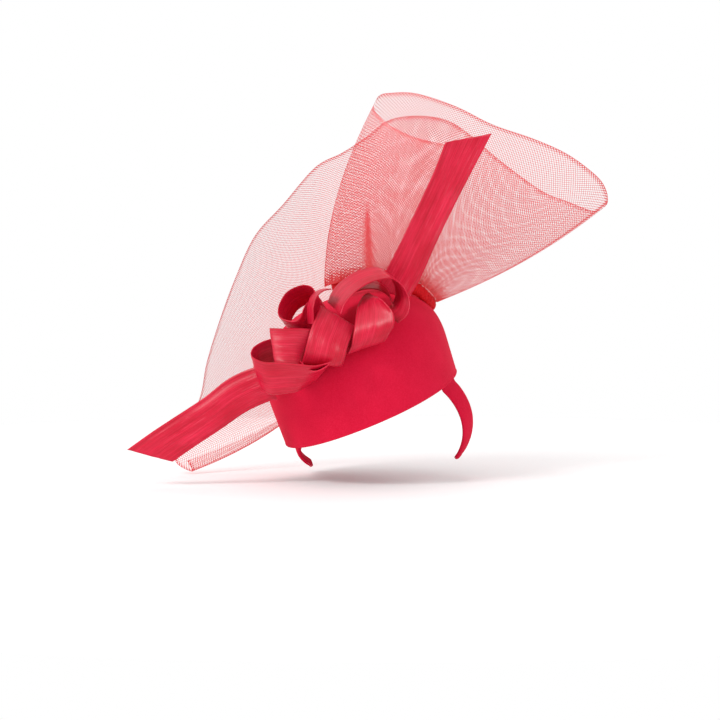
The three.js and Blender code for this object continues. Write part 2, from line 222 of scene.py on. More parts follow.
def cloth_uvs(grid, width, ring=False):
    """Metres of cloth: along the middle column, and across by the share of the width."""
    middle = grid[:, grid.shape[1] // 2]
    steps = np.linalg.norm(np.diff(middle, axis=0), axis=1)
    along = np.concatenate([[0], np.cumsum(steps)])
    across = np.linspace(0, width, grid.shape[1])
    return np.stack(np.meshgrid(along, across, indexing="ij"), -1), along[-1]


def thick_sheet(name, grid, thickness, width, ring=False):
    """A closed sheet of even thickness with rounded long edges."""
    rows, columns = grid.shape[:2]
    lift = grid_normals(grid, ring) * thickness / 2
    side = unit(np.gradient(grid, axis=1)) * thickness / 2
    loop = np.concatenate([
        grid + lift,
        (grid + side)[:, -1:],
        (grid - lift)[:, ::-1],
        (grid - side)[:, :1],
    ], axis=1)
    uv, length = cloth_uvs(grid, width, ring)
    uv = np.concatenate([uv, uv[:, -1:], uv[:, ::-1], uv[:, :1]], axis=1)
    count = loop.shape[1]
    faces = [face[::-1] for face in grid_faces(rows, count, ring, wrap=True)]
    if not ring:
        faces.append(tuple(range(count)))
        faces.append(tuple(range((rows - 1) * count, rows * count))[::-1])
    return add_mesh(name, loop.reshape(-1, 3), faces, uv.reshape(-1, 2)), length


def dress(piece, material, slot, *nodes, body=ROOT):
    """Gives a piece its material and its place in the model, and hides the CAD nodes that it stands for."""
    piece.data.materials.append(material)
    if nodes:
        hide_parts(*nodes)
    if body:
        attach(piece, body)
    return piece


# ---- materials ----


def srgb(red, green, blue):
    """A screen colour, 0 to 255, as the linear colour that nodes take."""
    linear = [((c / 255 + 0.055) / 1.055) ** 2.4 if c > 10 else c / 255 / 12.92 for c in (red, green, blue)]
    return (*linear, 1.0)


class Shader:
    """A material's node tree with its Principled node."""

    def __init__(self, name, **sockets):
        self.material = bpy.data.materials.new(name)
        self.material.use_nodes = True
        self.tree = self.material.node_tree
        self.surface = self.tree.nodes["Principled BSDF"]
        for socket, value in sockets.items():
            self.surface.inputs[socket.replace("_", " ")].default_value = value

    def node(self, kind, inputs=(), **settings):
        made = self.tree.nodes.new("ShaderNode" + kind)
        for key, value in settings.items():
            setattr(made, key, value)
        for key, value in dict(inputs).items():
            if isinstance(value, bpy.types.NodeSocket):
                self.tree.links.new(value, made.inputs[key])
            else:
                made.inputs[key].default_value = value
        return made

    def math(self, operation, a, b=0.0):
        return self.node("Math", {0: a, 1: b}, operation=operation).outputs[0]

    def noise(self, vector, scale, detail=3.0, roughness=0.6):
        made = self.node("TexNoise", {"Vector": vector, "Scale": scale, "Detail": detail,
                                      "Roughness": roughness})
        return made.outputs["Fac"]

    def scaled(self, vector, factors):
        return self.node("Mapping", {"Vector": vector, "Scale": factors}).outputs[0]

    def ramp(self, value, *stops):
        made = self.node("ValToRGB", {"Fac": value})
        elements = made.color_ramp.elements
        while len(elements) < len(stops):
            elements.new(0.5)
        for element, (place, colour) in zip(elements, stops):
            element.position = place
            element.color = colour
        return made.outputs["Color"]

    def mix(self, factor, a, b, blend="MIX"):
        made = self.node("Mix", {"Factor": factor}, data_type="RGBA", blend_type=blend)
        for socket, value in ((made.inputs[6], a), (made.inputs[7], b)):
            if isinstance(value, bpy.types.NodeSocket):
                self.tree.links.new(value, socket)
            else:
                socket.default_value = value
        return made.outputs[2]

    def bump(self, height, strength, distance, normal=None):
        inputs = {"Height": height, "Strength": strength, "Distance": distance}
        if normal:
            inputs["Normal"] = normal
        return self.node("Bump", inputs).outputs[0]

    def feed(self, **sockets):
        for socket, value in sockets.items():
            self.tree.links.new(value, self.surface.inputs[socket.replace("_", " ")])
        return self.material


def felt_material():
    """Brushed wool felt: a matted nap with faint mottling and a soft bloom."""
    shader = Shader("wool_felt", Roughness=0.95, Specular_IOR_Level=0.12, Sheen_Weight=0.16,
                    Sheen_Roughness=0.45, Sheen_Tint=srgb(255, 80, 100))
    place = shader.node("TexCoord").outputs["Object"]
    mottle = shader.noise(place, 34.0, 4.0)
    streaks = shader.noise(shader.scaled(place, (420.0, 420.0, 60.0)), 1.0, 3.0)
    nap = shader.noise(place, 900.0, 5.0, 0.7)
    colour = shader.ramp(mottle, (0.3, srgb(204, 12, 50)), (0.7, srgb(216, 20, 58)))
    colour = shader.mix(shader.math("MULTIPLY", streaks, 0.15), colour, srgb(206, 16, 52))
    colour = shader.mix(shader.ramp(nap, (0.42, (0, 0, 0, 1)), (0.62, (0.35, 0.35, 0.35, 1))),
                        colour, srgb(226, 38, 72))
    coarse = shader.bump(mottle, 0.25, 0.0012)
    fine = shader.bump(nap, 0.55, 0.0004, coarse)
    return shader.feed(Base_Color=colour, Normal=fine)


def ribbon_material(name):
    """Silk abaca: fine uneven threads along the ribbon, turned edges with painted shade and highlight lines,
    painted sheen patches and a satin shine across it.
    """
    shader = Shader(name, Specular_IOR_Level=0.26, Sheen_Weight=0.05, Sheen_Roughness=0.3,
                    Sheen_Tint=srgb(255, 90, 110), Anisotropic=0.6)
    cloth = shader.node("UVMap", uv_map="cloth").outputs["UV"]
    threads = shader.noise(shader.scaled(cloth, (16.0, 2600.0, 1.0)), 1.0, 5.0, 0.75)
    bands = shader.noise(shader.scaled(cloth, (6.0, 1000.0, 1.0)), 1.0, 4.0)
    patches = shader.noise(shader.scaled(cloth, (26.0, 60.0, 1.0)), 1.0, 3.0)
    slubs = shader.noise(shader.scaled(cloth, (34.0, 900.0, 1.0)), 1.0, 2.0)
    colour = shader.ramp(threads, (0.3, srgb(180, 4, 34)), (0.5, srgb(208, 18, 54)),
                         (0.72, srgb(230, 52, 82)))
    shade = shader.ramp(bands, (0.35, (0.85, 0.74, 0.78, 1)), (0.65, (1.1, 1.16, 1.14, 1)))
    colour = shader.mix(1.0, colour, shade, "MULTIPLY")
    # painted sheen: broad noise patches, lighter and pinker or darker, stand in for the satin's shine
    painted_sheen = shader.ramp(patches, (0.35, (0.87, 0.6, 0.72, 1)), (0.65, (1.06, 1.3, 1.2, 1)))
    colour = shader.mix(1.0, colour, painted_sheen, "MULTIPLY")
    raised = shader.ramp(slubs, (0.6, (0, 0, 0, 1)), (0.7, (1, 1, 1, 1)))
    colour = shader.mix(shader.math("MULTIPLY", raised, 0.25), colour, srgb(238, 86, 112))
    across = shader.node("SeparateXYZ", {0: cloth}).outputs[1]
    half = RIBBON_WIDTH * MM / 2
    from_middle = shader.math("ABSOLUTE", shader.math("SUBTRACT", across, half))
    from_middle = shader.math("DIVIDE", from_middle, half)
    # painted shade and painted highlight: a darker line just inside each turned edge and a lighter line on
    # the fold; the same ramp also gives the edge's relief in the bump below
    hem = shader.ramp(from_middle, (0.87, (1, 1, 1, 1)), (0.9, (0.78, 0.7, 0.7, 1)),
                      (0.93, (1.05, 1.05, 1.05, 1)))
    colour = shader.mix(1.0, colour, hem, "MULTIPLY")
    rough = shader.node("MapRange", {"Value": threads, "To Min": 0.26, "To Max": 0.44}).outputs[0]
    low = shader.bump(threads, 0.3, 0.0002)
    high = shader.bump(raised, 0.3, 0.0003, low)
    edged = shader.bump(hem, 0.4, 0.0006, high)
    tangent = shader.node("Tangent", direction_type="UV_MAP", uv_map="cloth").outputs[0]
    return shader.feed(Base_Color=colour, Roughness=rough, Normal=edged, Tangent=tangent)


def crin_material(name, colour):
    """Open weave of round threads at 45 degrees to the strip. The mesh says how crowded they are."""
    shader = Shader(name, Roughness=0.45, Specular_IOR_Level=0.5)
    cloth = shader.node("UVMap", uv_map="cloth").outputs["UV"]
    split = shader.node("SeparateXYZ", {0: cloth})
    crowd = shader.node("Attribute", attribute_name="crowd").outputs["Fac"]
    reach = shader.math("MULTIPLY", crowd, CRIN_THREAD / CRIN_PITCH / 2)
    pitch = CRIN_PITCH * MM * math.sqrt(2)
    lines = []
    for operation in ("ADD", "SUBTRACT"):
        across = shader.math(operation, split.outputs[0], split.outputs[1])
        wave = shader.math("PINGPONG", shader.math("DIVIDE", across, pitch), 0.5)
        lines.append((shader.math("LESS_THAN", wave, reach), wave))
    weave = shader.math("MAXIMUM", lines[0][0], lines[1][0])
    tint = shader.noise(shader.scaled(cloth, (60.0, 60.0, 1.0)), 1.0, 2.0)
    base = shader.mix(shader.math("MULTIPLY", tint, 0.5), colour, srgb(234, 66, 70))
    height = shader.math("MINIMUM", lines[0][1], lines[1][1])
    soft = shader.node("MapRange", {"Value": weave, "To Min": 0.04, "To Max": 0.92}).outputs[0]
    return shader.feed(Base_Color=base, Alpha=soft, Normal=shader.bump(height, 0.4, 0.0004))


def gathers_material():
    """Crin gathered so tightly that its threads lie side by side."""
    shader = Shader("gathered_crin", Roughness=0.7, Specular_IOR_Level=0.12)
    place = shader.node("TexCoord").outputs["Object"]
    threads = shader.noise(shader.scaled(place, (1500.0, 1500.0, 400.0)), 1.0, 3.0)
    colour = shader.ramp(threads, (0.35, srgb(176, 6, 18)), (0.65, srgb(222, 24, 36)))
    return shader.feed(Base_Color=colour, Normal=shader.bump(threads, 0.6, 0.0006))


def lining_material():
    """Plain-woven lining."""
    shader = Shader("lining", Roughness=0.55, Sheen_Weight=0.2)
    place = shader.node("TexCoord").outputs["Object"]
    threads = shader.noise(shader.scaled(place, (900.0, 900.0, 900.0)), 1.0, 2.0)
    folds = shader.noise(place, 60.0, 2.0)
    colour = shader.ramp(threads, (0.3, srgb(138, 16, 38)), (0.7, srgb(172, 30, 56)))
    soft = shader.bump(folds, 0.5, 0.002)
    return shader.feed(Base_Color=colour, Normal=shader.bump(threads, 0.3, 0.0002, soft))


def steel_material():
    """Drawn spring steel."""
    shader = Shader("spring_steel", Metallic=1.0)
    place = shader.node("TexCoord").outputs["Object"]
    drawn = shader.noise(shader.scaled(place, (40.0, 2500.0, 40.0)), 1.0, 3.0)
    colour = shader.ramp(drawn, (0.3, srgb(150, 150, 154)), (0.7, srgb(196, 196, 200)))
    rough = shader.node("MapRange", {"Value": drawn, "To Min": 0.28, "To Max": 0.45}).outputs[0]
    return shader.feed(Base_Color=colour, Roughness=rough)


def thread_material():
    """Twisted sewing thread."""
    shader = Shader("thread", Roughness=0.6, Sheen_Weight=0.3)
    place = shader.node("TexCoord").outputs["Object"]
    twist = shader.noise(place, 1800.0, 2.0)
    colour = shader.ramp(twist, (0.3, srgb(168, 16, 44)), (0.7, srgb(206, 36, 66)))
    return shader.feed(Base_Color=colour, Normal=shader.bump(twist, 0.5, 0.0003))


felt = felt_material()
silk = ribbon_material("silk_abaca_ribbon")
crin = crin_material("crin", srgb(213, 21, 33))
gathers = gathers_material()
lining = lining_material()
steel = steel_material()
thread = thread_material()


# ---- crown ----


def crown_points(angles, radii, heights):
    """The crown's outside: a lathe profile squeezed to an oval, with the rim cut on a slant."""
    power = 2 / OVAL_POWER
    across = np.sign(np.cos(angles)) * np.abs(np.cos(angles)) ** power
    along = np.sign(np.sin(angles)) * np.abs(np.sin(angles)) ** power
    x = radii * across
    y = radii * along * (CROWN_HALF_LENGTH / CROWN_HALF_WIDTH)
    slant = x * math.tan(math.radians(RIM_SLANT)) * (1 - heights / CROWN_HEIGHT)
    local = np.stack([x, y, heights + slant], -1)
    return local @ CROWN_TURN.T + np.array(CROWN_CENTRE)


def dome_profile(inset, steps, bottom=0.0):
    """Radius and height from the top of the dome, over the shoulder and down the wall."""
    turn = np.linspace(0, math.pi / 2, steps)
    radius = CROWN_HALF_WIDTH - inset
    rise = CROWN_HEIGHT - inset - CROWN_SHOULDER
    dome_r = radius * np.sin(turn) ** (2 / DOME_POWER)
    dome_h = CROWN_SHOULDER + rise * np.clip(np.cos(turn), 0, 1) ** (2 / DOME_POWER)
    wall_h = np.linspace(CROWN_SHOULDER, bottom, steps // 3)[1:]
    wall_r = radius - CROWN_RIM_INSET * (1 - wall_h / CROWN_SHOULDER)
    return list(zip(dome_r, dome_h)) + list(zip(wall_r, wall_h))


def lathe(name, profile, segments=160, rough=0.0, closed=False):
    """Turns a profile of radius and height into the crown's oval. An end at radius 0 is a pole."""
    angles = np.arange(segments) * 2 * math.pi / segments
    points, faces, rows = [], [], []
    for radius, height in profile:
        start = len(points)
        count = 1 if radius < 1e-6 else segments
        ring = crown_points(angles[:count], np.full(count, radius), np.full(count, height))
        points.extend(ring)
        rows.append((start, count))
    pairs = list(zip(rows, rows[1:] + rows[:1]))
    for (a, many_a), (b, many_b) in pairs if closed else pairs[:-1]:
        for i in range(segments):
            j = (i + 1) % segments
            if many_a == 1:
                faces.append((a, b + i, b + j))
            elif many_b == 1:
                faces.append((a + i, b, a + j))
            else:
                faces.append((a + i, b + i, b + j, a + j))
    points = np.array(points)
    if rough:
        out = unit(points - np.array(CROWN_CENTRE) - [0, 0, CROWN_SHOULDER / 2])
        points = points + out * wobble(points, 32, rough, 1)[:, None]
    return add_mesh(name, points, faces)


def rim_curve(middle, half, low, count=9):
    """A round edge between the outside and the inside of a wall."""
    turn = np.linspace(0, math.pi, count)[1:-1]
    return [(middle + half * math.cos(t), low - half * math.sin(t)) for t in turn]


def make_crown():
    rim = CROWN_HALF_WIDTH - CROWN_RIM_INSET
    outside = dome_profile(0, 60)
    inside = dome_profile(FELT, 60)
    edge = rim_curve(rim - FELT / 2, FELT / 2, 0.0)
    shell = lathe("felt_shell", outside + edge + inside[::-1], rough=0.35)
    dress(shell, felt, "wool_felt", "felt_crown")

    start = FELT + LINING_GAP
    cloth = dome_profile(start, 48, LINING_START)
    back = dome_profile(start + LINING, 48, LINING_START)
    inner = lathe("sewn_lining", cloth + back[::-1], segments=120)
    dress(inner, lining, "lining", "crown_lining")

    turn = np.linspace(0, 2 * math.pi, 24, endpoint=False)
    middle = rim - FELT / 2
    roll = [(middle + ROLL_RADIUS * math.cos(t), -ROLL_DROP - ROLL_RADIUS * math.sin(t)) for t in turn]
    binding = lathe("rolled_edge", roll, segments=200, closed=True)
    dress(binding, felt, "wool_felt", "edge_binding")


def make_pad():
    """The felt pad, on the front of the dome, that the knot is sewn to."""
    angles = np.radians(np.linspace(*PAD_SIDES, 40))
    turn = np.linspace(*PAD_REACH, 20) * math.pi / 2
    lift = PAD_GAP + PAD / 2
    radii = (CROWN_HALF_WIDTH + lift) * np.sin(turn) ** (2 / DOME_POWER)
    heights = CROWN_SHOULDER + (CROWN_HEIGHT + lift - CROWN_SHOULDER) * np.cos(turn) ** (2 / DOME_POWER)
    grid = crown_points(angles[:, None] + 0 * radii, radii + 0 * angles[:, None],
                        heights + 0 * angles[:, None])
    pad, _ = thick_sheet("knot_pad", grid, PAD, 60)
    dress(pad, felt, "wool_felt", "trim_pad")


# ---- headband ----


def band_frame(angles):
    """The band's middle at each place along it, and the directions of its width and outer face."""
    lean = math.radians(BAND_LEAN)
    turn = np.radians(angles)
    on_left = (LEFT_BEND - angles) / (LEFT_BEND - LEFT_TIP)
    on_right = (angles - RIGHT_BEND) / (RIGHT_TIP - RIGHT_BEND)
    down_leg = np.clip(np.maximum(on_left, on_right), 0, 1)
    half = BAND_HALF_WIDTH + BAND_EASE * np.abs(np.sin(down_leg * math.pi)) ** 0.7
    up = np.array([0, -math.sin(lean), math.cos(lean)])
    side = np.array([1.0, 0, 0])
    middle = (np.array(BAND_CENTRE) + np.outer(half * np.cos(turn), side)
              + np.outer(BAND_RISE * np.sin(turn), up))
    along = (np.outer(BAND_RISE * np.cos(turn), up)
             - np.outer(BAND_HALF_WIDTH * np.sin(turn), side))
    twist = math.radians(BAND_TWIST) * np.clip((90 - angles) / BAND_TWIST_FULL, -1, 1)
    back = np.array([0, math.cos(lean), math.sin(lean)])
    across = np.outer(np.cos(twist), back) + np.outer(np.sin(twist), side)
    return middle, across, unit(np.cross(across, along))


def band_length(name, start, end, tip):
    """A felt sleeve round the spring: a flat oval section, closed and rounded past its tip."""
    steps, around = 130, 28
    past = BAND_OVERHANG * np.sign(tip - 90)
    start, end, tip = start + past * (start == tip), end + past * (end == tip), tip + past
    angles = np.linspace(start, end, steps)
    fall = ((angles - 90) / (RIGHT_TIP - 90)) ** 2
    width = BAND_TOP_WIDTH + (BAND_TIP_WIDTH - BAND_TOP_WIDTH) * fall + BAND_SPARE
    from_tip = np.abs(angles - tip)
    closing = np.sqrt(np.clip(1 - np.clip(1 - from_tip / BAND_ROUNDING, 0, 1) ** 2, 0.02, 1))
    width = width * closing
    middle, wide, out = band_frame(angles)
    turn = np.linspace(0, 2 * math.pi, around, endpoint=False)
    flat = np.sign(np.cos(turn)) * np.abs(np.cos(turn)) ** 0.75
    thick = np.sign(np.sin(turn)) * np.abs(np.sin(turn)) ** 0.62
    thickness = BAND_THICKNESS * (0.55 + 0.45 * closing)
    grid = (middle[:, None]
            + wide[:, None] * (width[:, None] / 2 * flat)[..., None]
            + out[:, None] * (thickness[:, None] / 2 * thick)[..., None])
    count = steps * around
    faces = grid_faces(steps, around, wrap=True)
    faces.append(tuple(range(around))[::-1])
    faces.append(tuple(range(count - around, count)))
    return add_mesh(name, grid.reshape(-1, 3), faces)


def make_headband():
    lengths = (
        ("left_band_cover", LEFT_TIP, BAND_JOIN, LEFT_TIP, "left_leg", LEFT_BEND, -1),
        ("right_band_cover", BAND_JOIN + 0.4, RIGHT_TIP, RIGHT_TIP, "right_leg", RIGHT_BEND, 1),
    )
    for name, start, end, tip, body, bend, way in lengths:
        cover = band_length(name, start, end, tip)
        nodes = [body + "_outer_felt", body + "_inner_felt"]
        if body == "left_leg":
            nodes += ["band_outer_felt", "band_inner_felt"]
        dress(cover, felt, "wool_felt", *nodes, body=None)
        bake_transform(cover)
    for name in ("left_band_tack", "right_band_tack"):
        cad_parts[name].data.materials.clear()
        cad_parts[name].data.materials.append(thread)
    for name in ("band_core", "left_leg_core", "right_leg_core", "edge_wire"):
        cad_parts[name].data.materials.clear()
        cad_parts[name].data.materials.append(steel)


# ---- ribbons ----

# Each loop: whether it is a ring, the share of the ribbon's width that shows, and places along its
# middle line, each with the direction of the ribbon's width there.
LOOPS = {
    "low_loop": (True, 1, [
        ((-46, -113, 66), (0.35, -0.75, 0.35)),
        ((-56, -117, 62), (0.2, -0.85, 0.45)),
        ((-68, -120, 60), (0, -0.75, 0.66)),
        ((-80, -117, 60), (-0.1, -0.65, 0.75)),
        ((-93, -112, 60), (-0.15, -0.6, 0.78)),
        ((-103, -104, 66), (-0.2, -0.6, 0.77)),
        ((-100, -96, 75), (-0.2, -0.6, 0.77)),
        ((-86, -91, 81), (-0.15, -0.62, 0.77)),
        ((-77, -92, 76), (-0.05, -0.7, 0.7)),
        ((-60, -113, 62), (0.25, -0.82, 0.2)),
    ]),
    "side_loop": (True, 1, [
        ((-61.5, -114, 86), (0.22, 0.3, 0.93)),
        ((-69, -117, 87), (0, 0.4, 0.9)),
        ((-80, -119, 87), (-0.1, 0.45, 0.88)),
        ((-88, -116, 87.5), (-0.15, 0.45, 0.87)),
        ((-87, -111, 88), (-0.15, 0.45, 0.87)),
        ((-77, -110.5, 87.5), (-0.08, 0.45, 0.88)),
        ((-68, -110.5, 87), (0, 0.4, 0.9)),
        ((-62, -111, 86.5), (0.22, 0.3, 0.93)),
    ]),
    "front_loop": (True, 1, [
        ((-34, -104, 113), (0.85, 0.1, -0.5)),
        ((-37, -117, 104), (0.88, 0, -0.45)),
        ((-41, -126, 92), (0.92, -0.05, -0.35)),
        ((-44, -127, 80), (0.96, -0.1, -0.2)),
        ((-47, -119, 71), (0.99, -0.1, -0.05)),
        ((-46, -112, 74), (0.98, 0, -0.1)),
        ((-43, -108, 85), (0.93, 0.05, -0.3)),
        ((-38, -103, 100), (0.87, 0.1, -0.45)),
    ]),
    "hollow_loop": (True, 1, [
        ((-66, -98, 102), (-0.25, -0.88, 0.35)),
        ((-76, -94, 104), (-0.25, -0.88, 0.35)),
        ((-80, -90, 109), (-0.25, -0.88, 0.35)),
        ((-79, -86, 118), (-0.25, -0.88, 0.35)),
        ((-73, -81, 128), (-0.25, -0.88, 0.35)),
        ((-61, -78, 134), (-0.25, -0.88, 0.35)),
        ((-52, -80, 132), (-0.25, -0.88, 0.35)),
        ((-50, -84, 125), (-0.25, -0.88, 0.35)),
        ((-57.5, -91, 115), (-0.25, -0.88, 0.35)),
        ((-61, -97, 105), (-0.25, -0.88, 0.35)),
    ]),
    "narrow_loop": (False, 0.5, [
        ((-57, -109, 106), (0.35, -0.92, -0.1)),
        ((-57, -114, 113), (0.35, -0.92, -0.1)),
        ((-57, -115, 120), (0.35, -0.92, -0.1)),
        ((-54.5, -112, 128), (0.35, -0.92, -0.1)),
        ((-49, -105, 134), (0.35, -0.92, -0.1)),
        ((-42, -103, 136), (0.35, -0.92, -0.1)),
    ]),
    "arch_loop": (False, 1, [
        ((-37, -101, 120), (0.35, -0.86, -0.36)),
        ((-33.5, -99, 129), (0.35, -0.86, -0.36)),
        ((-26, -96, 138), (0.35, -0.86, -0.36)),
        ((-15, -92, 146), (0.35, -0.86, -0.36)),
        ((-4, -90, 150), (0.35, -0.86, -0.36)),
        ((6, -88, 151), (0.35, -0.86, -0.36)),
        ((14, -87, 146), (0.35, -0.86, -0.36)),
        ((19.5, -87, 137), (0.35, -0.86, -0.36)),
        ((21, -89, 128), (0.35, -0.86, -0.36)),
        ((18, -92, 119), (0.35, -0.86, -0.36)),
        ((11, -94, 113), (0.35, -0.86, -0.36)),
    ]),
    "inner_loop": (False, 1, [
        ((-4, -97, 131), (0.25, -0.93, -0.2)),
        ((-4, -104, 127), (0.55, -0.8, -0.2)),
        ((-2.5, -114, 116), (0.9, -0.4, -0.1)),
        ((-3, -121, 104), (0.98, -0.1, 0.1)),
        ((-6, -120, 93), (0.95, 0, 0.3)),
        ((-10, -112, 86), (0.94, 0, 0.33)),
        ((-9, -104, 90), (0.94, 0, 0.33)),
        ((-6, -100, 98), (0.95, 0, 0.3)),
    ]),
    "back_loop": (False, 0.65, [
        ((-34, -85, 124), (0.1, -0.9, -0.4)),
        ((-28, -80, 134), (0.1, -0.9, -0.4)),
        ((-16, -75, 141), (0.1, -0.9, -0.4)),
        ((-2, -73, 142), (0.1, -0.9, -0.4)),
        ((8, -74, 136), (0.1, -0.9, -0.4)),
        ((12, -78, 127), (0.1, -0.9, -0.4)),
    ]),
}

# The two edges of each tail, from the knot to its slanted cut end.
TAILS = {
    "upper_tail": (
        [(-3, -58, 140), (9, -64, 159), (21, -69, 182), (35, -74, 211), (50, -80, 243),
         (58, -86, 264)],
        [(26, -61, 131), (37, -64, 150), (50, -70, 179), (64, -75, 208), (79, -81, 237),
         (97, -88, 271)],
    ),
    "lower_tail": (
        [(-97, -80, 69), (-107, -80, 70), (-129, -78, 60), (-151, -77, 43), (-190, -72, 18),
         (-216, -68, 0)],
        [(-86, -82, 43), (-93, -82, 42), (-113, -79, 33), (-135, -77, 18), (-158, -72, 3),
         (-177, -68, -10)],
    ),
}


def crease(grid, seed, reach=0.45):
    """The shallow lengthwise ridges and soft waves of a stiff ribbon, along its normals."""
    rows, columns = grid.shape[:2]
    across = np.linspace(0, 1, columns)
    along = np.linspace(0, 1, rows)
    ridges = np.array([[noise.noise(Vector((7 * v, 1.1 * u, seed * 5.1))) for v in across] for u in along])
    return reach * ridges + wobble(grid, 24, reach, seed)


def make_loops():
    for number, (name, (ring, share, places)) in enumerate(LOOPS.items()):
        rows, columns = 150, 17
        middle, widths = (spline(part, rows, ring) for part in zip(*places))
        width = share * RIBBON_WIDTH
        across = np.linspace(-0.5, 0.5, columns)
        grid = middle[:, None] + unit(widths)[:, None] * (across * width)[None, :, None]
        fade = np.sin(np.linspace(0, math.pi, rows))[:, None] ** 0.5
        grid = grid + grid_normals(grid, ring) * (fade * crease(grid, number))[..., None]
        loop, length = thick_sheet(name + "_ribbon", trim_place(grid), RIBBON, RIBBON_WIDTH, ring)
        dress(loop, silk, "silk_abaca_ribbon", name)


def make_tails():
    for number, (name, (one, other)) in enumerate(TAILS.items()):
        rows, columns = 90, 19
        one, other = spline(one, rows), spline(other, rows)
        share = np.linspace(0, 1, columns)[None, :, None]
        grid = one[:, None] * (1 - share) + other[:, None] * share
        normals = grid_normals(grid)
        bow = 4 * share[..., 0] * (1 - share[..., 0]) * 1.2
        grid = grid + normals * (bow + crease(grid, 20 + number, 0.8))[..., None]
        tail, length = thick_sheet(name + "_ribbon", trim_place(grid), RIBBON, RIBBON_WIDTH)
        dress(tail, silk, "silk_abaca_ribbon", name)


# ---- crin ----

# The strip from its tail, behind the crown, over the top and round two folds to its end. At each
# place: its gathered inner edge, its free outer edge, and how far its middle bows out between them.
CRIN = [
    ((-66, 92, 46), (-176, 40, -10), (4, 8, -2)),
    ((-67, 91, 44), (-171, 37, -20), (4, 8, -4)),
    ((-64, 94, 50), (-187, 42, -11), (0, 10, 0)),
    ((-61, 96, 55), (-184, 50, 9), (-2, 12, 1)),
    ((-57, 97, 64), (-167, 58, 48), (-4, 14, 2)),
    ((-52, 99, 74), (-161, 66, 82), (-5, 15, 3)),
    ((-46, 100, 84), (-150, 74, 121), (-6, 15, 4)),
    ((-41, 99, 95), (-137, 80, 159), (-6, 16, 5)),
    ((-35, 97, 106), (-118, 84, 203), (-6, 16, 6)),
    ((-29, 92, 117), (-91, 84, 234), (-5, 16, 6)),
    ((-21, 83, 130), (-60, 80, 269), (-4, 16, 4)),
    ((-14, 72, 141), (-34, 74, 282), (-3, 15, 3)),
    ((-6, 62, 149), (-11, 68, 296), (-2, 15, 2)),
    ((2, 54, 152), (10, 64, 311), (-1, 14, 1)),
    ((10, 47, 153), (36, 62, 315), (0, 14, 0)),
    ((18, 41, 153), (64, 62, 311), (1, 13, -1)),
    ((26, 37, 152), (86, 60, 297), (2, 12, -2)),
    ((34, 32, 150), (115, 56, 271), (2, 11, -3)),
    ((43, 23, 145), (152, 48, 242), (3, 9, -4)),
    ((49, 15, 140), (176, 38, 230), (3, 7, -5)),
    ((52, 8, 135), (196, 24, 220), (4, 5, -6)),
    ((53, 6, 135), (204, 10, 220), (4, 3, -6)),
    ((54, 4, 134), (208, 2, 225), (4, 0, -6)),
    ((53, 0, 135), (205, -6, 236), (4, -3, -6)),
    ((50, -6, 139), (195, -14, 247), (3, -7, -4)),
    ((46, -11, 143), (169, -24, 264), (2, -11, -2)),
    ((40, -15, 147), (138, -30, 277), (1, -14, 0)),
    ((34, -19, 150), (102, -34, 289), (0, -16, 1)),
    ((22, -22, 151), (69, -36, 305), (-1, -16, 1)),
    ((8, -25, 152), (34, -38, 316), (-3, -14, 0)),
    ((-8, -27, 153), (10, -40, 316), (-6, -12, -1)),
    ((-26, -30, 150), (1, -44, 313), (-9, -10, -2)),
    ((-44, -33, 145), (-3, -50, 306), (-11, -9, -3)),
    ((-47, -35, 144), (-4, -55, 301), (-11, -9, -3)),
    ((-40, -39, 146), (-2, -60, 295), (-9, -9, -2)),
    ((-26, -44, 150), (9, -68, 283), (-5, -9, -1)),
    ((-8, -48, 151), (31, -73, 271), (-2, -8, 0)),
    ((8, -50, 149), (57, -76, 264), (0, -8, 0)),
    ((16, -51, 147), (69, -77, 261), (0, -8, 0)),
]
CRIN_FOLDS = (1, 22, 32.5)  # where the strip turns back on itself, counted along CRIN
FOLD_REACH = 0.16
GATHER_REACH = 0.09  # the share of the width, from the inner edge, that is puckered
PLEAT_PLACE = 12  # a tapering pleat, counted along CRIN, and the share of the width that it reaches
PLEAT_REACH = 0.58

# The roll of gathered crin and thread along the sewn edge.
GATHER = [
    (-16, 74, 133), (0, 55, 146), (18, 40, 148), (34, 30, 143), (46, 16, 136), (49, 5, 131),
    (42, -9, 138), (32, -18, 144), (12, -24, 146), (-12, -29, 148), (-40, -34, 141),
]
GATHER_ACROSS = 3.4
GATHER_UP = 5.6
GATHER_RAISE = 0.8


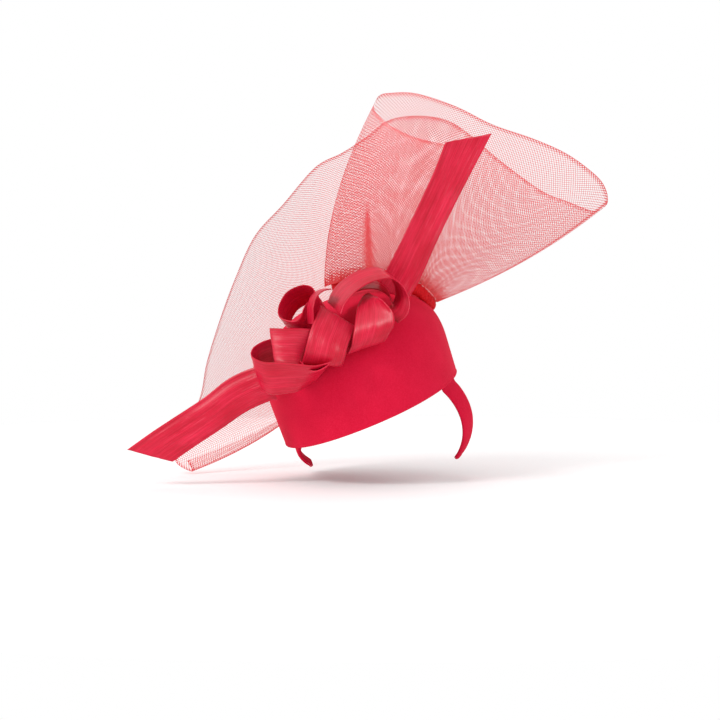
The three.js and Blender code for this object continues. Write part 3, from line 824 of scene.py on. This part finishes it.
def make_crin():
    inner, outer, bow = (np.array(rail, float) for rail in zip(*CRIN))
    rows, columns = 1100, 34
    inner, outer, bow = (spline(rail, rows) for rail in (inner, outer, bow))
    share = np.linspace(0, 1, columns) ** 0.9
    grid = (inner[:, None] * (1 - share)[:, None]
            + outer[:, None] * share[:, None]
            + bow[:, None] * (4 * share * (1 - share))[:, None])

    steps = np.linalg.norm(np.diff(outer, axis=0), axis=1)
    along = np.concatenate([[0], np.cumsum(steps)])
    normals = grid_normals(grid)
    puckers = np.sin(along / 3.1) + 0.5 * np.sin(along / 5.3 + 1)
    depth = np.clip(1 - share / GATHER_REACH, 0, 1) ** 1.5
    waves = 0.4 * np.sin(along / 41)
    grid = grid + normals * (1.1 * puckers[:, None] * depth + waves[:, None] * share)[..., None]

    spacing = np.linalg.norm(np.gradient(grid, axis=0), axis=-1)
    flat_spacing = np.gradient(along)[:, None]
    crowd = np.clip(flat_spacing / np.maximum(spacing, 0.05), 1, 5) ** 0.55
    places = np.linspace(0, len(CRIN) - 1, rows)
    for fold in CRIN_FOLDS:
        near = np.exp(-(((places - fold) / FOLD_REACH) ** 2))
        crowd = crowd + 3 * near[:, None]
    crowd = crowd + 2.0 * (share > 0.992)
    crowd = crowd + 3.2 * np.clip(1 - share / GATHER_REACH, 0, 1) ** 1.5
    taper = np.clip(1 - share / PLEAT_REACH, 0, 1)
    pleat = np.exp(-(((places[:, None] - PLEAT_PLACE) / (0.09 + 0.55 * taper**1.4)) ** 2))
    crowd = crowd + 3.6 * pleat * np.clip(5 * taper, 0, 1)

    across = np.broadcast_to(share * CRIN_WIDTH, (rows, columns))
    uv = np.stack([np.broadcast_to(along[:, None], (rows, columns)), across], -1)
    sheet = add_mesh("crin_strip", trim_place(grid).reshape(-1, 3), grid_faces(rows, columns),
                     uv.reshape(-1, 2), crowd=crowd.ravel())
    dress(sheet, crin, "crin", "crin_tail", "crin_sweep", "crin_front", "crin_fold")


def make_gather():
    rows, around = 520, 16
    line = spline(GATHER, rows) + [0, 0, GATHER_RAISE]
    along = unit(np.gradient(line, axis=0))
    side = unit(np.cross(along, [0, 0, 1]))
    up = np.cross(side, along)
    travel = np.cumsum(np.linalg.norm(np.gradient(line, axis=0), axis=1))
    turn = np.linspace(0, 2 * math.pi, around, endpoint=False)
    puff = 1 + 0.07 * np.sin(travel / 0.8)[:, None] * np.cos(turn * 3) + 0.06 * np.sin(travel / 1.5)[:, None]
    grid = (line[:, None]
            + side[:, None] * (GATHER_ACROSS * puff * np.cos(turn))[..., None]
            + up[:, None] * (GATHER_UP * puff * np.sin(turn))[..., None])
    faces = grid_faces(rows, around, wrap=True)
    faces.append(tuple(range(around))[::-1])
    faces.append(tuple(range((rows - 1) * around, rows * around)))
    roll = add_mesh("gathered_edge", trim_place(grid).reshape(-1, 3), faces)
    dress(roll, gathers, "crin", "crin_gather")


make_crown()
make_pad()
make_headband()
make_loops()
make_tails()
make_crin()
make_gather()


# ---- camera, light and floor ----


def make_camera():
    azimuth, elevation = math.radians(VIEW_AZIMUTH), math.radians(VIEW_ELEVATION)
    back = Vector((math.sin(azimuth) * math.cos(elevation), -math.cos(azimuth) * math.cos(elevation),
                   math.sin(elevation)))
    across = Vector((math.cos(azimuth), math.sin(azimuth), 0))
    up = back.cross(across)
    data = bpy.data.cameras.new("camera")
    data.lens = LENS
    camera = bpy.data.objects.new("camera", data)
    camera.location = back * VIEW_DISTANCE
    aim = across * AIM_ACROSS + up * AIM_UP
    camera.rotation_euler = (aim - camera.location).to_track_quat("-Z", "Y").to_euler()
    bpy.context.scene.collection.objects.link(camera)
    bpy.context.scene.camera = camera


def add_light(name, place, watts, size):
    data = bpy.data.lights.new(name, "AREA")
    data.energy = watts
    data.size = size
    light = bpy.data.objects.new(name, data)
    light.location = place
    light.rotation_euler = (Vector((0, 0, 0.1)) - light.location).to_track_quat("-Z", "Y").to_euler()
    bpy.context.scene.collection.objects.link(light)
    return light


def make_studio():
    add_light("key", (-1.1, -1.5, 1.5), 21, 0.6)
    add_light("fill", (1.6, -1.2, 0.7), 3, 1.4)
    add_light("rim", (0.4, 1.7, 1.5), 7, 1.2)
    shine = add_light("shine", (-0.5, -1.5, 1.3), 22, 0.35)
    shine.visible_diffuse = False  # a second highlight on the satin
    world = bpy.data.worlds.new("studio")
    world.use_nodes = True
    tree = world.node_tree
    dim = tree.nodes["Background"]
    dim.inputs["Color"].default_value = (1, 1, 1, 1)
    dim.inputs["Strength"].default_value = WORLD_LIGHT
    bright = tree.nodes.new("ShaderNodeBackground")
    bright.inputs["Color"].default_value = (1, 1, 1, 1)
    choose = tree.nodes.new("ShaderNodeMixShader")
    path = tree.nodes.new("ShaderNodeLightPath")
    tree.links.new(path.outputs["Is Camera Ray"], choose.inputs[0])
    tree.links.new(dim.outputs[0], choose.inputs[1])
    tree.links.new(bright.outputs[0], choose.inputs[2])
    tree.links.new(choose.outputs[0], tree.nodes["World Output"].inputs["Surface"])
    bpy.context.scene.world = world
    bpy.context.scene.view_settings.view_transform = "Standard"


def make_floor():
    segments = 96
    low = CAD_BOX[0].z - FLOOR_DROP
    ring = [(FLOOR_RADIUS * math.cos(t), FLOOR_RADIUS * math.sin(t), low)
            for t in np.linspace(0, 2 * math.pi, segments, endpoint=False)]
    mesh = bpy.data.meshes.new("floor")
    mesh.from_pydata(ring, [], [tuple(range(segments))])
    floor = bpy.data.objects.new("floor", mesh)
    shader = Shader("floor", Roughness=0.8)
    grain = shader.noise(shader.node("TexCoord").outputs["Object"], 3.0)
    colour = shader.ramp(grain, (0.0, (0.985, 0.985, 0.985, 1)), (1.0, (1.0, 1.0, 1.0, 1)))
    mesh.materials.append(shader.feed(Base_Color=colour))
    bpy.context.scene.collection.objects.link(floor)


make_camera()
make_studio()
make_floor()
